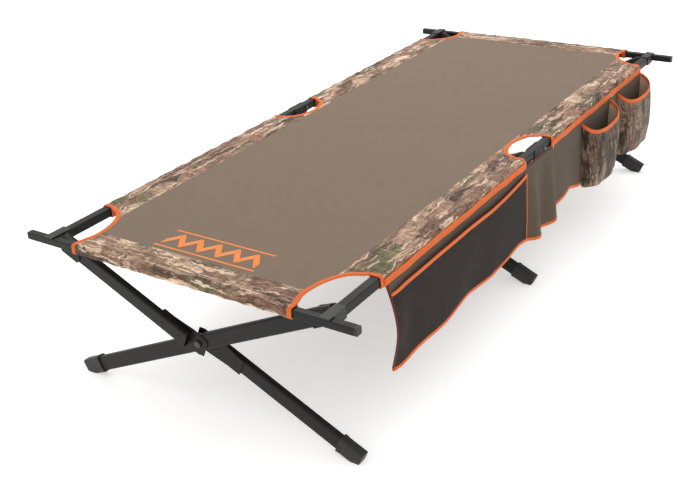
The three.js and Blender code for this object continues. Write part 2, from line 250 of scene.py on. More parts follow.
rivet_recipe = Recipe("domed_rivets", {"Radius": "Float", "Height": "Float"})
head = rivet_recipe.add("GeometryNodeMeshUVSphere", None, {
    "Segments": 14, "Rings": 9, "Radius": rivet_recipe.value("Radius")})
squat = rivet_recipe.add("ShaderNodeCombineXYZ", None, {
    0: 1.0, 1: 1.0, 2: rivet_recipe.add("ShaderNodeMath", {"operation": "DIVIDE"}, {
        0: rivet_recipe.value("Height"), 1: rivet_recipe.value("Radius")})})
head = rivet_recipe.add("GeometryNodeTransform", None, {"Geometry": head, "Scale": squat})
facing = rivet_recipe.add("GeometryNodeInputNamedAttribute", {"data_type": "FLOAT_VECTOR"},
                          {"Name": "facing"})
turn = rivet_recipe.add("FunctionNodeAlignRotationToVector", {"axis": "Z"}, {"Vector": facing})
rivet_recipe.close(rivet_recipe.add("GeometryNodeInstanceOnPoints", None, {
    "Points": rivet_recipe.value("Start"), "Instance": head, "Rotation": turn}))


def rivet_points(name, marks):
    mesh = bpy.data.meshes.new(name)
    mesh.from_pydata([place for place, _ in marks], [], [])
    layer = mesh.attributes.new("facing", "FLOAT_VECTOR", "POINT")
    for item, (_, way) in zip(layer.data, marks):
        item.vector = way
    return mesh


def rivets_of(side):
    marks = []
    sign = -1 if side == "left" else 1
    for y, back in SET_Y.values():
        centre = y - back * LEG_STEP if side == "left" else y
        for x in BRACKET_X:
            for way in (-1, 1):
                marks.append(((sign * x, centre + way * BRACKET_HALF, PIVOT_Z + x * LEG_SLOPE), (0, way, 0)))
        if side == "left":
            for way in (-1, 1):
                for reach in YOKE_REACH:
                    marks.append(((way * reach * math.cos(LEG_TURN),
                                   y + way * back * (LEG_STEP + YOKE_FACE),
                                   PIVOT_Z - way * reach * math.sin(LEG_TURN)), (0, way * back, 0)))
    for y in CHANNEL_Y:
        for way in (-1, 1):
            marks.append(((sign * RAIL_X + way * CHANNEL_HALF, y, RAIL_Z), (way, 0, 0)))
    return marks


for side in SIDES:
    rivets = rivet_recipe.make(f"{side}_frame_rivets", rivet_points(side, rivets_of(side)),
                               Radius=RIVET_RADIUS, Height=RIVET_HEIGHT, Finish=STEEL)
    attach(rivets, f"{side}_frame")


# ---- Feet, bar plugs and rail caps ----------------------------------------------------
# Black injection-moulded plastic, slipped over or into the tubes. The moulded grain
# stays satin, and the feet are scuffed grey where they stand on the ground.
def moulded_plastic():
    plastic = Finish("black_moulded_plastic", {"Specular IOR Level": 0.35})
    place = plastic.placed()
    grain = plastic.speckle(place, 1400, 2)
    cloudy = plastic.speckle(place, 16, 3)
    height = plastic.add("ShaderNodeSeparateXYZ", None, {0: place}, 2)
    low = 1 - plastic.mask(height, 0.0, 0.030)
    scuff = plastic.mask(plastic.speckle(place, 120, 6, 0.7, 0.8), 0.50, 0.62) * (0.15 + low * 0.75)
    base = plastic.mixed(cloudy, (0.009, 0.009, 0.0078), (0.018, 0.0175, 0.0155))
    plastic.relief(grain + scuff * 0.5, 0.30, 0.0004)
    return plastic.surface(Base_Color=plastic.mixed(scuff, base, (0.075, 0.072, 0.064)),
                           Roughness=0.42 + cloudy * 0.12 + scuff * 0.2)


plastic_nodes = [f"{side}_rail_cap_{end}" for side in SIDES for end in ("near", "far")]
plastic_nodes += [f"{end}_bar_plug_{side}" for side in SIDES for end in ("near", "far")]
plastic_nodes += [f"{side}_leg_foot_{leg_set}" for side in SIDES for leg_set in SETS]
dress(plastic_nodes, moulded_plastic())


# ---- Pivot and hinge bolts --------------------------------------------------------------
# Zinc-plated steel bolts with turned heads, passivated black, one through each leg
# crossing and one through each folding rail. Turning marks and a faint dark spangle.
def plated_zinc():
    zinc = Finish("black_passivated_zinc", {"Metallic": 0.6})
    place = zinc.placed()
    spangle = zinc.speckle(place, 260, 4)
    dull = zinc.speckle(place, 60, 3)
    zinc.relief(zinc.speckle(zinc.stretched(place, (900, 120, 900)), 1, 2), 0.15, 0.0003)
    return zinc.surface(Base_Color=zinc.mixed(spangle, (0.040, 0.039, 0.035), (0.105, 0.102, 0.094)),
                        Roughness=0.26 + dull * 0.3)


dress([f"leg_pivot_{leg_set}" for leg_set in SETS] + [f"{side}_hinge_bolt" for side in SIDES],
      plated_zinc())


# ---- Bed panel --------------------------------------------------------------------------
# One stretched panel: taupe plain-weave polyester in the middle, with a printed bark
# and leaf border sewn on all four sides. It is cut away at the corners and mid hinges.
BED_Z = 0.4311
BED_SAG = 0.006
CLOTH = 0.0018
CREASE_ANGLE = 1.0
SIDE_SEAM_X = 0.345
END_SEAM_Y = 0.934
BED_END_Y = 0.9913
BED_SIDE_X = 0.4103
NEAR_CUT = [(0.338, -0.9913), (0.327, -0.945), (0.337, -0.885), (0.364, -0.838), (0.4103, -0.812)]
MID_CUT = [(0.4103, -0.060), (0.374, -0.034), (0.356, 0.030), (0.374, 0.094), (0.4103, 0.120)]
FAR_CUT = [(0.4103, 0.860), (0.366, 0.888), (0.340, 0.926), (0.331, 0.960), (0.338, 0.9913)]


def taupe_canvas(name="taupe_canvas", shade=1.0):
    canvas = Finish(name, {"Sheen Weight": 0.05, "Sheen Roughness": 0.5,
                           "Specular IOR Level": 0.25})
    flat = canvas.add("ShaderNodeUVMap", {"uv_map": "cloth"})
    lines = []
    for axis in ("X", "Y"):
        lines.append(canvas.add("ShaderNodeTexWave", {
            "wave_type": "BANDS", "bands_direction": axis, "wave_profile": "SIN"},
            {"Vector": flat, "Scale": 260, "Distortion": 0.6, "Detail": 1, "Detail Scale": 3}, "Fac"))
    weave = lines[0] * lines[1]
    slub = canvas.speckle(canvas.stretched(flat, (520, 26, 1)), 1, 3)
    slub2 = canvas.speckle(canvas.stretched(flat, (26, 520, 1)), 1, 3)
    cloud = canvas.speckle(flat, 5, 3)
    # shade scales the canvas colour: below one it is painted shade, above one painted light
    tone = canvas.mixed(cloud, (0.192 * shade, 0.137 * shade, 0.096 * shade),
                        (0.214 * shade, 0.155 * shade, 0.110 * shade))
    thread = canvas.mixed((slub + slub2) * 0.5, (0.80, 0.80, 0.80), (1.18, 1.18, 1.18))
    canvas.relief(weave * 0.7 + slub * 0.3, 0.35, 0.0005)
    woven = canvas.mixed(weave, (0.84, 0.84, 0.84), (1.08, 1.08, 1.08))
    return canvas.surface(Base_Color=canvas.times(canvas.times(tone, thread), woven),
                          Roughness=0.82 + cloud * 0.1)


def bark_print(name="bark_and_leaf_print", shade=1.0):
    cloth = Finish(name, {"Sheen Weight": 0.10, "Sheen Roughness": 0.5,
                          "Specular IOR Level": 0.3})

    # dye colours times shade, which is painted shade in the darker pocket copy of the print
    def dye_and_painted_shade(red, green, blue):
        return (red * shade, green * shade, blue * shade)

    flat = cloth.add("ShaderNodeUVMap", {"uv_map": "cloth"})
    wander = cloth.speckle(flat, 26, 4, out=1)
    bent = cloth.add("ShaderNodeVectorMath", {"operation": "MULTIPLY_ADD"}, {
        0: wander, 1: (0.030, 0.042, 0), 2: flat})

    def litter(where, scale, stops):
        """Leaf-litter shapes: their colours, a random number each, and how near an edge is."""
        hue = cloth.add("ShaderNodeTexVoronoi", None, {"Vector": where, "Scale": scale}, "Color")
        one = cloth.add("ShaderNodeSeparateColor", None, {0: hue}, 0)
        other = cloth.add("ShaderNodeSeparateColor", None, {0: hue}, 1)
        edge = cloth.add("ShaderNodeTexVoronoi", {"feature": "DISTANCE_TO_EDGE"},
                         {"Vector": where, "Scale": scale}, "Distance")
        return cloth.add("ShaderNodeValToRGB", {"stops": stops}, {"Fac": one}), other, edge

    bark, _, bark_edge = litter(cloth.stretched(bent, (1.0, 0.24, 1.0), 0.20), 34, [
        (0.0, dye_and_painted_shade(0.070, 0.042, 0.029)), (0.16, dye_and_painted_shade(0.130, 0.082, 0.058)),
        (0.34, dye_and_painted_shade(0.220, 0.142, 0.107)), (0.52, dye_and_painted_shade(0.300, 0.208, 0.155)),
        (0.70, dye_and_painted_shade(0.410, 0.310, 0.232)), (0.84, dye_and_painted_shade(0.620, 0.520, 0.415)),
        (0.93, dye_and_painted_shade(0.165, 0.155, 0.095)), (1.0, dye_and_painted_shade(0.060, 0.036, 0.025))])
    leaves, chance, leaf_edge = litter(cloth.stretched(bent, (1.0, 0.55, 1.0), -0.55), 21, [
        (0.0, dye_and_painted_shade(0.110, 0.118, 0.062)), (0.30, dye_and_painted_shade(0.185, 0.170, 0.105)),
        (0.55, dye_and_painted_shade(0.275, 0.150, 0.110)), (0.78, dye_and_painted_shade(0.560, 0.455, 0.350)),
        (1.0, dye_and_painted_shade(0.130, 0.078, 0.055))])
    grain = cloth.speckle(cloth.stretched(bent, (1.0, 0.11, 1.0), 0.22), 120, 6, 0.72)
    tide = cloth.speckle(cloth.stretched(flat, (1.0, 0.6, 1.0)), 12, 3)
    on_leaf = cloth.mask(chance, 0.56, 0.60) * cloth.mask(leaf_edge, 0.02, 0.07)
    grained = cloth.mixed(cloth.mask(grain, 0.36, 0.64), (0.48, 0.45, 0.42), (1.42, 1.40, 1.34))
    ground = cloth.times(bark, grained)
    ground = cloth.mixed((1 - cloth.mask(bark_edge, 0.0, 0.09)) * 0.38, ground, dye_and_painted_shade(0.045, 0.029, 0.020))
    vein = cloth.mask(cloth.speckle(cloth.stretched(bent, (0.16, 1.0, 1.0), -0.4), 150, 3), 0.40, 0.60)
    veined = cloth.times(leaves, cloth.mixed(vein, (0.70, 0.68, 0.66), (1.20, 1.20, 1.16)))
    printed = cloth.mixed(on_leaf * 0.85, ground, veined)
    twig = cloth.speckle(cloth.stretched(bent, (1.0, 0.20, 1.0), 0.30), 34, 4, 0.5, 0.6)
    crack = cloth.mask(twig, 0.470, 0.488) * (1 - cloth.mask(twig, 0.496, 0.514))
    shadowed = cloth.mixed(crack * 0.80, printed, dye_and_painted_shade(0.032, 0.021, 0.015))
    straw = cloth.speckle(cloth.stretched(bent, (1.0, 0.11, 1.0), -0.16), 84, 5, 0.7)
    pale = cloth.mixed(cloth.mask(straw, 0.560, 0.600) * 0.72, shadowed, dye_and_painted_shade(0.74, 0.65, 0.54))
    pucker = cloth.speckle(cloth.stretched(flat, (9, 70, 1), 0.35), 1, 3)
    # painted shade and painted light: the colour is darkened in the pucker creases and lightened on their
    # ridges
    painted_crease_shade = cloth.mixed(cloth.mask(pucker, 0.34, 0.62), (0.80, 0.79, 0.78), (1.08, 1.08, 1.08))
    aged = cloth.mixed(tide, (0.72, 0.60, 0.54), (1.48, 1.30, 1.18))
    cloth.relief(cloth.speckle(flat, 900, 2) * 0.05 + pucker * 0.95, 0.85, 0.0080)
    return cloth.surface(Base_Color=cloth.times(cloth.times(pale, painted_crease_shade), aged),
                         Roughness=0.80 + grain * 0.14)


def through(points, step=0.004):
    """Smooth curve through the given points, cut into steps of about the given length."""
    p = [np.array(q, float) for q in points]
    p = [2 * p[0] - p[1]] + p + [2 * p[-1] - p[-2]]
    line = []
    for k in range(1, len(p) - 2):
        count = max(3, int(np.linalg.norm(p[k + 1] - p[k]) / step))
        for i in range(count):
            t = i / count
            line.append(0.5 * ((2 * p[k]) + (p[k + 1] - p[k - 1]) * t
                               + (2 * p[k - 1] - 5 * p[k] + 4 * p[k + 1] - p[k + 2]) * t ** 2
                               + (3 * p[k] - p[k - 1] - 3 * p[k + 1] + p[k + 2]) * t ** 3))
    line.append(p[-2])
    return np.array(line)


def bed_height(x, y):
    across = 1 - min(1, abs(x) / BED_SIDE_X) ** 2
    along = 1 - min(1, abs(y) / BED_END_Y) ** 4
    hem = max(0, 1 - (BED_SIDE_X - abs(x)) / 0.075)
    wander = 5 * noise.noise(Vector((x * 4, y * 4, 1)))
    ripple = 0.0007 * hem * math.sin(math.pi * hem) * math.sin(y * 150 + wander)
    swell = 0.0016 * across * noise.noise(Vector((x * 3.2, y * 2.6, 4)))
    end_fall = 0.0007 * max(0, (abs(y) - 0.979) / 0.0123)
    return BED_Z - BED_SAG * across * along + ripple + swell - end_fall


def sewn_piece(name, spots, quads, uvs, kinds, finishes, crease=math.tau):
    """A piece from its faces, its flat places and its finishes, creased past an angle."""
    mesh = bpy.data.meshes.new(name)
    mesh.from_pydata(spots, [], quads)
    for material in finishes:
        mesh.materials.append(material)
    mesh.polygons.foreach_set("material_index", kinds)
    layer = mesh.uv_layers.new(name="cloth")
    for loop, place in zip(layer.data, uvs):
        loop.uv = place
    shape = bmesh.new()
    shape.from_mesh(mesh)
    bmesh.ops.recalc_face_normals(shape, faces=shape.faces)
    for side in shape.faces:
        side.smooth = True
    for edge in shape.edges:
        if len(edge.link_faces) == 2 and edge.calc_face_angle(0) > crease:
            edge.smooth = False
    shape.to_mesh(mesh)
    shape.free()
    return put_in_scene(name, mesh)


def cloth_piece(name, grid, flat, finishes, which=None, thickness=CLOTH, looped=False, lining=None):
    """A sheet of even thickness over a grid of points, with its flat size as its UV map."""
    grid, flat = np.array(grid, float), np.array(flat, float)
    rows, cols = grid.shape[:2]
    if looped:
        across = np.roll(grid, -1, 1) - np.roll(grid, 1, 1)
    else:
        across = np.gradient(grid, axis=1)
    face = np.cross(across, np.gradient(grid, axis=0))
    face /= np.maximum(np.linalg.norm(face, axis=2, keepdims=True), 1e-12)
    top = (grid + face * thickness / 2).reshape(-1, 3)
    under = (grid - face * thickness / 2).reshape(-1, 3)
    count = rows * cols
    spots = [tuple(v) for v in top] + [tuple(v) for v in under]
    quads, uvs, kinds = [], [], []

    def lay(corners, places, kind):
        quads.append(corners)
        uvs.extend(places)
        kinds.append(kind)

    width = cols if looped else cols - 1
    for r in range(rows - 1):
        for c in range(width):
            d = (c + 1) % cols
            ring = [(r, c), (r, d), (r + 1, d), (r + 1, c)]
            places = [tuple(flat[a][b if b or not (looped and c == cols - 1) else cols]) for a, b in ring]
            kind = which(r, c) if which else 0
            index = [a * cols + b for a, b in ring]
            lay(index, places, kind)
            lay([count + i for i in reversed(index)], places[::-1], kind if lining is None else lining)
    borders = [([(r, c) for c in range(cols)], looped) for r in (0, rows - 1)]
    if not looped:
        borders += [([(r, c) for r in range(rows)], False) for c in (0, cols - 1)]
    for line, closed in borders:
        ends = list(zip(line, line[1:])) + ([(line[-1], line[0])] if closed else [])
        for (a, b), (e, f) in ends:
            i, j = a * cols + b, e * cols + f
            kind = which(min(a, e, rows - 2), min(b, f, width - 1)) if which else 0
            lay([i, j, count + j, count + i], [tuple(flat[a][b]), tuple(flat[e][f])] * 2, kind)
    return sewn_piece(name, spots, quads, uvs, kinds, finishes, CREASE_ANGLE)


def straight(start, end, step=0.013):
    count = max(2, int(round((end - start) / step)))
    return [(BED_SIDE_X, start + (end - start) * i / count) for i in range(1, count)]


near_cut, mid_cut, far_cut = through(NEAR_CUT), through(MID_CUT), through(FAR_CUT)
bed_side = ([tuple(q) for q in near_cut] + straight(NEAR_CUT[-1][1], MID_CUT[0][1])
            + [tuple(q) for q in mid_cut] + straight(MID_CUT[-1][1], FAR_CUT[0][1])
            + [tuple(q) for q in far_cut])
HEM_COLS, BODY_COLS = 7, 50
bed_grid, bed_flat = [], []
for edge_x, y in bed_side:
    inner = min(SIDE_SEAM_X, edge_x - 0.004)
    columns = [-edge_x + (edge_x - inner) * i / HEM_COLS for i in range(HEM_COLS)]
    columns += [-inner + 2 * inner * i / BODY_COLS for i in range(BODY_COLS)]
    columns += [inner + (edge_x - inner) * i / HEM_COLS for i in range(HEM_COLS + 1)]
    bed_grid.append([(x, y, bed_height(x, y)) for x in columns])
    bed_flat.append([(x, y) for x in columns])


def bed_cloth(row, column):
    y = (bed_side[row][1] + bed_side[row + 1][1]) / 2
    if abs(y) > END_SEAM_Y:
        return 2
    return 1 if column < HEM_COLS or column >= HEM_COLS + BODY_COLS else 0


TAUPE = taupe_canvas()
PRINT = bark_print()
bed = cloth_piece("bed_panel", bed_grid, bed_flat, [TAUPE, PRINT, PRINT], bed_cloth)
for face in bed.data.polygons:
    if face.material_index == 2:
        for i in face.loop_indices:
            u, v = bed.data.uv_layers["cloth"].data[i].uv
            bed.data.uv_layers["cloth"].data[i].uv = (v, u)


# ---- Sleeves over the rails and bars ----------------------------------------------------
# The printed border runs on round each tube and back to itself: two open-ended tunnels
# on each side, one at each end. The cloth is a little loose and wrinkles underneath.
RAIL_SKIN = 0.0138
BAR_Y, BAR_Z, BAR_SKIN = 1.0038, 0.4178, 0.0114


def tunnel(half, slack, corner=0.0045):
    """Section of a sleeve, from its inner top edge outwards, as (out, up) from the tube."""
    line = [(-half - 0.0006, half)]
    for turn_at, (sx, sz) in zip((90, 0, -90), ((1, 1), (1, -1), (-1, -1))):
        for k in range(5):
            a = math.radians(turn_at - 90 * k / 4)
            line.append((sx * (half - corner) + corner * math.cos(a),
                         sz * (half - corner) + corner * math.sin(a)))
    full = []
    for (a, b), (c, d) in zip(line, line[1:] + line[:1]):
        count = max(1, int(math.hypot(c - a, d - b) / 0.0045))
        full += [(a + (c - a) * i / count, b + (d - b) * i / count) for i in range(count)]
    return [(a * (1 + slack * max(0, half - b) / half * 0.5),
             b - slack * 0.012 * max(0, -b) / half) for a, b in full]


def sleeve_rows(section, stations, place, seed, loose):
    grid, flat = [], []
    lengths = [0.0]
    for (a, b), (c, d) in zip(section, section[1:] + section[:1]):
        lengths.append(lengths[-1] + math.hypot(c - a, d - b))
    for s in stations:
        row = []
        for (out, up), travelled in zip(section, lengths):
            free = loose * min(1, travelled / 0.02) * (1 if travelled < lengths[-1] - 0.008 else 0.2)
            drift = 3 * noise.noise(Vector((s * 9, travelled * 20, seed)))
            push = free * (0.6 * math.sin(s * 95 + travelled * 30 + drift)
                           + 0.8 * noise.noise(Vector((s * 38, travelled * 45, seed + 3))))
            size = math.hypot(out, up)
            row.append(place(out * (1 + push / size), up * (1 + push / size), s))
        grid.append(row)
        flat.append([(BED_SIDE_X + t, s) for t in lengths])
    return grid, flat, lengths[-1]


def spaced(start, end, step):
    count = max(2, int(round((end - start) / step)))
    return [start + (end - start) * i / count for i in range(count + 1)]


SIDE_RUNS = {"near": (-0.812, -0.060), "far": (0.120, 0.860)}
side_section = tunnel(RAIL_SKIN, 0.10)
side_sleeves = {}
for side in SIDES:
    sign = -1 if side == "left" else 1
    for half, (start, end) in SIDE_RUNS.items():
        grid, flat, girth = sleeve_rows(
            side_section, spaced(start, end, 0.007),
            lambda out, up, s: (sign * (RAIL_X + out), s, RAIL_Z + up), 7 + sign + end, 0.0015)
        sleeve = cloth_piece(f"{side}_sleeve_{half}", grid, flat, [PRINT], looped=True)
        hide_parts(f"{side}_side_sleeve_{half}")
        side_sleeves[side, half] = sleeve

END_HALF = 0.340
end_section = tunnel(BAR_SKIN, 0.10)
end_sleeves = []
for end in ("near", "far"):
    sign = -1 if end == "near" else 1
    grid, flat, end_girth = sleeve_rows(
        end_section, spaced(-END_HALF, END_HALF, 0.007),
        lambda out, up, s: (s, sign * (BAR_Y + out), BAR_Z + 0.0014 + up), 20 + sign, 0.0013)
    flat = [[(u + 0.58, v) for u, v in row] for row in flat]
    sleeve = cloth_piece(f"{end}_bar_sleeve", grid, flat, [PRINT], looped=True)
    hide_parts(f"{end}_end_sleeve")
    end_sleeves.append(sleeve)


# ---- Orange binding on the bed ------------------------------------------------------------
# Woven orange tape folded over every cut edge and sewn through: round the corner and
# mid-hinge cut-outs, and round both open ends of each sleeve.
def woven_tape(name, dark, light):
    tape = Finish(name, {"Sheen Weight": 0.08, "Sheen Roughness": 0.4, "Specular IOR Level": 0.3})
    flat = tape.add("ShaderNodeUVMap", {"uv_map": "cloth"})
    rib = tape.add("ShaderNodeTexWave", {"wave_type": "BANDS", "bands_direction": "X"},
                   {"Vector": flat, "Scale": 190, "Distortion": 0.4}, "Fac")
    fray = tape.speckle(flat, 260, 3)
    cloud = tape.speckle(flat, 12, 2)
    tone = tape.mixed(cloud, dark, light)
    tape.relief(rib * 0.7 + fray * 0.3, 0.5, 0.0005)
    threads = tape.mixed(rib * 0.6 + fray * 0.4, (0.70, 0.66, 0.62), (1.10, 1.10, 1.08))
    return tape.surface(Base_Color=tape.times(tone, threads), Roughness=0.72 + fray * 0.15)


TAPE = woven_tape("orange_woven_tape", (0.64, 0.118, 0.020), (0.78, 0.165, 0.032))
TAPE_FORM = [(-1, -0.4), (-1, 0.4), (-0.82, 1), (0, 1.12), (0.82, 1), (1, 0.4), (1, -0.4),
             (0.82, -1), (0, -1.12), (-0.82, -1)]


def tape_piece(name, runs, thickness, finish=TAPE):
    """Flat tape along each run of points; a run gives its width and the way across it."""
    spots, quads, uvs = [], [], []
    for line, across, width, closed in runs:
        line, across = np.array(line, float), np.array(across, float)
        if closed:
            ahead = np.roll(line, -1, 0) - np.roll(line, 1, 0)
        else:
            ahead = np.gradient(line, axis=0)
        ahead /= np.linalg.norm(ahead, axis=1, keepdims=True)
        across = across - ahead * (across * ahead).sum(1, keepdims=True)
        across /= np.linalg.norm(across, axis=1, keepdims=True)
        up = np.cross(ahead, across)
        travelled = np.concatenate([[0], np.cumsum(np.linalg.norm(np.diff(line, axis=0), axis=1))])
        base, n, m = len(spots), len(line), len(TAPE_FORM)
        for p, a, u in zip(line, across, up):
            spots += [tuple(p + a * s * width / 2 + u * t * thickness / 2) for s, t in TAPE_FORM]
        for i in range(n if closed else n - 1):
            j = (i + 1) % n
            reach = travelled[j] if j else travelled[-1] + np.linalg.norm(line[0] - line[-1])
            for k in range(m):
                after = (k + 1) % m
                quads.append([base + i * m + k, base + i * m + after,
                              base + j * m + after, base + j * m + k])
                uvs += [(travelled[i], k * 0.003), (travelled[i], (k + 1) * 0.003),
                        (reach, (k + 1) * 0.003), (reach, k * 0.003)]
        if not closed:
            for i in (0, n - 1):
                quads.append([base + i * m + k for k in range(m)])
                uvs += [(travelled[i] + s * width / 2, t * thickness / 2) for s, t in TAPE_FORM]
    piece = sewn_piece(name, spots, quads, uvs, [0] * len(quads), [finish])
    return piece


def sleeve_mouth(section, place, s, way, inset=0.0055, width=0.0125):
    """Tape round the open end of a sleeve: way is the direction along the sleeve."""
    out = [(a * 1.03, b * 1.03) for a, b in section]
    line = [place(a, b, s - way * inset) for a, b in out]
    step = np.array(place(0, 0, 1)) - np.array(place(0, 0, 0))
    return (line, [step] * len(line), width, True)


def cut_line(cut, sign, inset):
    """Points just inside a cut edge, and the way inwards at each."""
    line, inward = [], []
    ahead = np.gradient(cut, axis=0)
    for (x, y), (dx, dy) in zip(cut, ahead):
        size = math.hypot(dx, dy)
        nx, ny = -dy / size, dx / size
        line.append((sign * (x + nx * inset), y + ny * inset))
        inward.append((sign * nx, ny, 0))
    return [(x, y, bed_height(x, y) + 0.0001) for x, y in line], inward


bed_runs = []
for sign in (-1, 1):
    for cut in (near_cut, mid_cut, far_cut):
        line, inward = cut_line(cut, sign, 0.0048)
        bed_runs.append((line, inward, 0.0135, False))
for end_sign in (-1, 1):
    for way in (-1, 1):
        bed_runs.append(sleeve_mouth(
            end_section, lambda a, b, s: (s, end_sign * (BAR_Y + a), BAR_Z + 0.0014 + b),
            way * END_HALF, way))
bed_binding = tape_piece("bed_binding", bed_runs, 0.0034)

sleeve_bindings = {}
for side in SIDES:
    sign = -1 if side == "left" else 1
    runs = []
    for start, end in SIDE_RUNS.values():
        for s, way in ((start, -1), (end, 1)):
            runs.append(sleeve_mouth(
                side_section, lambda a, b, s: (sign * (RAIL_X + a), s, RAIL_Z + b), s, way))
    sleeve_bindings[side] = tape_piece(f"{side}_sleeve_binding", runs, 0.0030)


# ---- Stitching and the stitched motif ---------------------------------------------------
# Lock stitches in tan and orange thread hold the borders and bindings. A plain motif of
# peaks between two bars is worked in orange satin stitch near one end of the bed.
def spun_thread(name, dark, light):
    thread = Finish(name, {"Sheen Weight": 0.2, "Specular IOR Level": 0.35})
    place = thread.placed()
    ply = thread.speckle(place, 2200, 2)
    thread.relief(ply, 0.5, 0.0003)
    return thread.surface(Base_Color=thread.mixed(ply, dark, light), Roughness=0.55 + ply * 0.2)


ORANGE_THREAD = spun_thread("orange_thread", (0.74, 0.19, 0.035), (0.95, 0.34, 0.07))
TAN_THREAD = spun_thread("tan_thread", (0.20, 0.15, 0.105), (0.36, 0.29, 0.21))

stitch_recipe = Recipe("stitch_row", dict.fromkeys(("Pitch", "Along", "Across", "Height"), "Float"))
bead = stitch_recipe.add("GeometryNodeMeshIcoSphere", None, {"Radius": 1.0, "Subdivisions": 1})
bead = stitch_recipe.add("GeometryNodeTransform", None, {"Geometry": bead, "Scale": stitch_recipe.add(
    "ShaderNodeCombineXYZ", None, {0: stitch_recipe.value("Along"), 1: stitch_recipe.value("Across"),
                                   2: stitch_recipe.value("Height")})})
seam = stitch_recipe.add("GeometryNodeMeshToCurve", None, {"Mesh": stitch_recipe.value("Start")})
seam = stitch_recipe.add("GeometryNodeResampleCurve", {"mode": "LENGTH"}, {
    "Curve": seam, "Length": stitch_recipe.value("Pitch")})
lead = stitch_recipe.add("FunctionNodeAlignRotationToVector", {"axis": "X"}, {
    "Vector": stitch_recipe.add("GeometryNodeInputTangent")})
stitch_recipe.close(stitch_recipe.add("GeometryNodeInstanceOnPoints", None, {
    "Points": seam, "Instance": bead, "Rotation": lead}))


def seam_lines(name, lines):
    spots, edges = [], []
    for line in lines:
        edges += [(len(spots) + i, len(spots) + i + 1) for i in range(len(line) - 1)]
        spots += [tuple(p) for p in line]
    mesh = bpy.data.meshes.new(name)
    mesh.from_pydata(spots, edges, [])
    return mesh


def on_bed(points, lift, step=0.01):
    line = []
    for (a, b), (c, d) in zip(points, points[1:]):
        count = max(1, int(math.hypot(c - a, d - b) / step))
        line += [(a + (c - a) * i / count, b + (d - b) * i / count) for i in range(count)]
    line.append(points[-1])
    return [(x, y, bed_height(x, y) + CLOTH / 2 + lift) for x, y in line]


border_lines = []
for sign in (-1, 1):
    for inset in (-0.0025, 0.0025):
        x = sign * (SIDE_SEAM_X + inset)
        border_lines.append(on_bed([(x, -0.870), (x, -0.010)], 0.0001))
        border_lines.append(on_bed([(x, 0.070), (x, 0.890)], 0.0001))
        y = sign * (END_SEAM_Y + inset)
        border_lines.append(on_bed([(-0.318, y), (0.318, y)], 0.0001))
border_stitches = stitch_recipe.make(
    "border_stitches", seam_lines("border", border_lines),
    Pitch=0.0042, Along=0.0017, Across=0.00042, Height=0.00035, Finish=TAN_THREAD)
binding_lines = []
for sign in (-1, 1):
    for cut in (near_cut, mid_cut, far_cut):
        line, _ = cut_line(cut, sign, 0.0098)
        binding_lines.append([(x, y, z + 0.0017) for x, y, z in line])
binding_stitches = stitch_recipe.make(
    "binding_stitches", seam_lines("binding", binding_lines),
    Pitch=0.0038, Along=0.0015, Across=0.00042, Height=0.00035, Finish=ORANGE_THREAD)

motif_lines = []
for y in (-0.917, -0.8330):
    motif_lines.append([(-0.154, y), (0.158, y)])
for base, rise in ((-0.9030, 0.040), (-0.8945, 0.040), (-0.8860, 0.040)):
    motif_lines.append([(-0.144 + i * 0.0292, base if i % 2 == 0 else base + rise) for i in range(11)])
motif = stitch_recipe.make(
    "stitched_motif", seam_lines("motif", [on_bed(line, 0.0002, 0.004) for line in motif_lines]),
    Pitch=0.0012, Along=0.0008, Across=0.0040, Height=0.0006, Finish=ORANGE_THREAD)

for piece, slot in ((border_stitches, "taupe_cloth"), (binding_stitches, "taupe_cloth"),
                    (motif, "taupe_cloth"), (bed_binding, None), (bed, "taupe_cloth"),
                    (end_sleeves[0], None), (end_sleeves[1], None)):
    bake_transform(piece)
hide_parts("bed_sheet")
for (side, half), sleeve in side_sleeves.items():
    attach(sleeve, f"{side}_frame")
for side in SIDES:
    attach(sleeve_bindings[side], f"{side}_frame")
bed_area = sum((a[0] + b[0]) * (b[1] - a[1]) for a, b in zip(bed_side, bed_side[1:]))


# ---- Organiser heading tape -----------------------------------------------------------------
# A wide orange tape sewn along the outer face of the right-hand sleeves. The organiser
# hangs from its lower edge and swings from that line of stitching. Across the gap at the
# hinge the tape carries on, darkened to a dark red-brown as painted shade under the rail.
HANG_X, HANG_Z = 0.4420, 0.4015
LEAF_X = HANG_X + 0.0004
heading_runs = []
for start, end in ((-0.803, -0.056), (0.116, 0.866)):
    stations = spaced(start, end, 0.012)
    line = [(0.4424 + 0.0006 * math.sin(s * 60), s, 0.4118 + 0.0010 * math.sin(s * 21 + 1)) for s in stations]
    heading_runs.append((line, [(0, 0, 1)] * len(line), 0.0196, False))
heading = tape_piece("organiser_heading", heading_runs, 0.0022)
heading_rows = [[(0.4435, s, z) for s in spaced(a, b, 0.02)] for a, b in ((-0.795, -0.064), (0.124, 0.858))
                for z in (0.4050, 0.4172)]
heading_stitches = stitch_recipe.make("heading_stitches", seam_lines("heading", heading_rows), Pitch=0.0042,
                                      Along=0.0017, Across=0.0004, Height=0.0004, Finish=ORANGE_THREAD)
# painted shade: the orange tape darkened to a dark red-brown, for tape lying in shade
SHADED_ORANGE_TAPE = woven_tape("orange_tape_painted_shade", (0.085, 0.018, 0.012), (0.125, 0.030, 0.018))
gap_stations = spaced(-0.060, 0.120, 0.012)
gap_tape = tape_piece("organiser_gap_tape", [(
    [(0.4412, s, 0.4052 - 0.0022 * math.sin(math.pi * (s + 0.060) / 0.180)) for s in gap_stations],
    [(0, 0, 1)] * len(gap_stations), 0.0100, False)], 0.0020, SHADED_ORANGE_TAPE)
for piece in (heading, heading_stitches, gap_tape):
    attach(piece, "right_frame")


